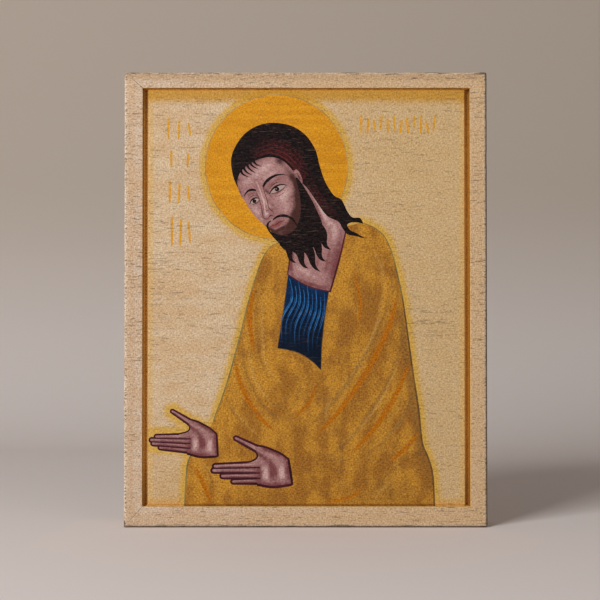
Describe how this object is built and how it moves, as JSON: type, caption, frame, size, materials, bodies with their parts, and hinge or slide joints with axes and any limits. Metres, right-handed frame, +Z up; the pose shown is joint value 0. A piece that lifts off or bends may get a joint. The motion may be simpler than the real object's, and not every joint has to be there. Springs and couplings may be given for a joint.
{
  "type": "icon panel",
  "caption": "Upright painted wooden panel: a board with side channels set in a narrow mitred frame, standing on its lower rail.",
  "frame": {"origin": "on the surface the panel stands on, under the middle of its box", "axes": "+Z up the panel, +X to the right as seen from the front, -Y out of the painted face"},
  "size_m": [0.24, 0.032, 0.301],
  "materials": {
    "limed_wood": "limed, matt, open pores",
    "painted_wood": "painted picture, satin"
  },
  "bodies": {
    "root": {"top_rail": "limed_wood", "bottom_rail": "limed_wood", "left_stile": "limed_wood", "right_stile": "limed_wood", "painted_board": "painted_wood"}
  },
  "joints": []
}
